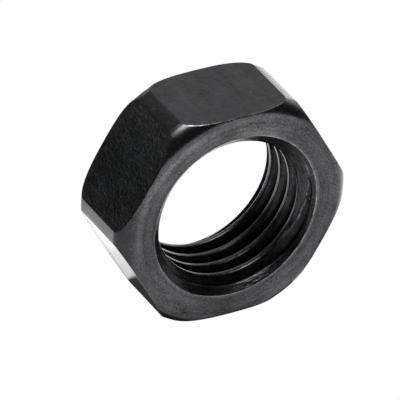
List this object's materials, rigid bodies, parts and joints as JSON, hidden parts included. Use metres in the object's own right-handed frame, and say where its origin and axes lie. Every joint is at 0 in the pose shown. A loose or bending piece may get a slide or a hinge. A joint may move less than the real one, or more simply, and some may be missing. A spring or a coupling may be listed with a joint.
{
  "type": "hex nut",
  "caption": "Narrow hex jam nut with a fine right-hand thread, a countersink at each mouth and a convex turned chamfer around each bearing face.",
  "frame": {"origin": "on the thread axis, half-way through the thickness", "axes": "+Y along the thread axis towards the back bearing face, +Z out of the top wrench flat, +X towards a rounded corner; the nut stands on its bottom wrench flat"},
  "size_m": [0.0142, 0.0054, 0.0126],
  "materials": {
    "black_oxide_steel": "satin black oxide over turned and drawn steel"
  },
  "bodies": {
    "root": {"hex_nut": "black_oxide_steel"}
  },
  "joints": []
}
